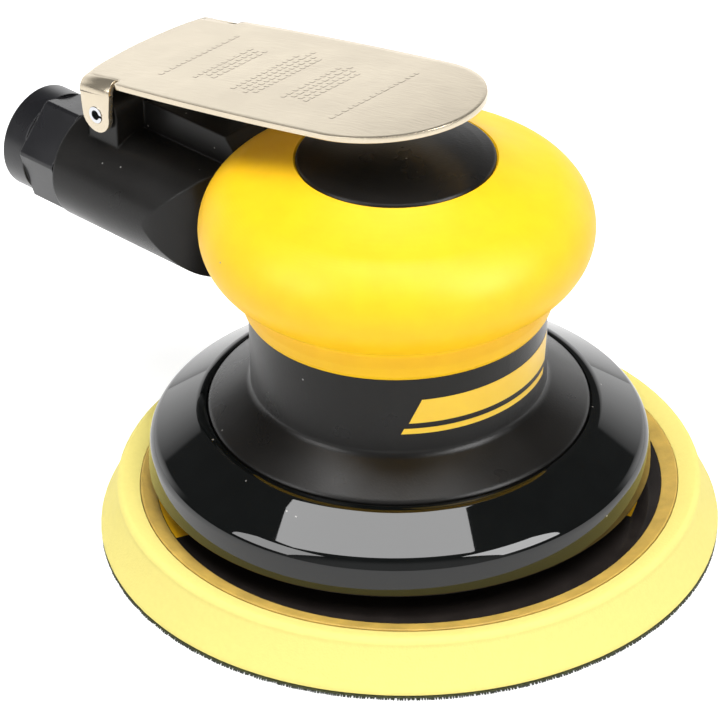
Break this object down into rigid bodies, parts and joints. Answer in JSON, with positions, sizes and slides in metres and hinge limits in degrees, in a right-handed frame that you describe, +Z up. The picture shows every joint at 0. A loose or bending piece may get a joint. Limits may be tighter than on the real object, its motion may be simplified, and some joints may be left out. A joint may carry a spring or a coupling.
{
  "type": "orbital sander",
  "caption": "Palm random orbital air sander: round foam pad on a free spindle, skirt, moulded palm grip, paddle lever and side-by-side inlet and exhaust tubes.",
  "frame": {"origin": "where the motor's axis meets the working face of the pad", "axes": "+Z up along the motor axis, away from the work; the handle, inlet and exhaust point towards -X; +Y to the inlet side"},
  "size_m": [0.1555, 0.125, 0.0983],
  "materials": {
    "foam_yellow": "fine-celled polyurethane foam with a smooth moulded skin",
    "hook_black": "dense short hook pile",
    "backing_tan": "glass-filled laminate, satin",
    "label_black": "glossy printed ring with plain amber segments",
    "steel": "turned and ground steel",
    "dark_steel": "oiled black steel",
    "aluminium": "machined aluminium",
    "brass": "turned brass",
    "black_rubber": "smooth nitrile rubber",
    "vane_fibre": "laminated phenolic fibre",
    "gloss_black": "polished black plastic",
    "housing_black": "fine-textured glass-filled nylon",
    "grip_yellow": "soft-touch moulded rubber",
    "lever_gold": "pale champagne plated pressed steel",
    "cap_black": "moulded nylon, slightly worn",
    "felt_grey": "pressed felt",
    "spacer_fibre": "pressed fibre"
  },
  "bodies": {
    "housing": {"shroud": "gloss_black", "lock_ring": "aluminium", "front_end_plate": "aluminium", "front_bearing_outer": "steel", "front_bearing_balls": "steel", "cylinder_liner": "steel", "cylinder_pin": "steel", "rear_end_plate": "aluminium", "motor_oring": "black_rubber", "rear_bearing_outer": "steel", "rear_bearing_balls": "steel", "wave_washer": "steel", "housing": "housing_black", "grip": "grip_yellow", "lever_pin": "steel", "speed_ring": "dark_steel", "valve_seat": "brass", "valve_spring": "steel", "inlet_bushing": "dark_steel", "inlet_oring": "black_rubber", "inlet_screen": "steel", "muffler_cap": "cap_black", "muffler_oring": "black_rubber", "muffler_insert": "felt_grey"},
    "pad": {"hook_face": "hook_black", "pad_foam": "foam_yellow", "backing_plate": "backing_tan", "pad_label": "label_black", "pad_hub": "steel", "pad_rivets": "steel", "pad_spacer": "spacer_fibre", "spindle": "steel", "dust_shield": "black_rubber", "spindle_clip": "dark_steel", "lower_bearing_inner": "steel", "upper_bearing_inner": "steel"},
    "rotor": {"shaft_balancer": "dark_steel", "rotor": "aluminium", "rotor_vanes": "vane_fibre", "rotor_key": "steel", "front_bearing_inner": "steel", "rear_bearing_inner": "steel", "shaft_clip": "dark_steel", "lower_bearing_outer": "steel", "lower_bearing_balls": "steel", "upper_bearing_outer": "steel", "upper_bearing_balls": "steel", "spindle_ring": "dark_steel"},
    "lever": {"lever": "lever_gold"},
    "valve_stem": {"valve_stem": "brass"},
    "speed_control": {"speed_control": "cap_black", "speed_oring": "black_rubber"},
    "tip_valve": {"tip_valve": "steel", "valve_seal": "black_rubber"}
  },
  "joints": [
    {"name": "rotor_spin", "type": "hinge", "parent": "housing", "child": "rotor", "pos_m": [0, 0, 0.045], "axis": [0, 0, 1], "continuous": true},
    {"name": "pad_spin", "type": "hinge", "parent": "rotor", "child": "pad", "pos_m": [0.0025, 0, 0.024], "axis": [0, 0, 1], "continuous": true},
    {"name": "lever_press", "type": "hinge", "parent": "housing", "child": "lever", "pos_m": [-0.0647, 0, 0.0758], "axis": [0, 1, 0], "range_deg": [0, 7], "stiffness_Nm_per_rad": 1.5, "springref_deg": -8.59},
    {"name": "stem_slide", "type": "slide", "parent": "housing", "child": "valve_stem", "axis": [0, 0, -1], "range_m": [0, 0.0028]},
    {"name": "valve_tilt", "type": "hinge", "parent": "housing", "child": "tip_valve", "pos_m": [-0.0575, 0.011, 0.0632], "axis": [0, 1, 0], "range_deg": [0, 6.2], "deforming": ["valve_spring"]},
    {"name": "speed_turn", "type": "hinge", "parent": "housing", "child": "speed_control", "pos_m": [-0.044, 0.011, 0.0783], "axis": [0, 0, 1], "range_deg": [-30, 30]}
  ],
  "couplings": [
    {"joint": "stem_slide", "follows": "lever_press", "m_per_rad": 0.0219},
    {"joint": "valve_tilt", "follows": "lever_press", "ratio": 0.857}
  ]
}
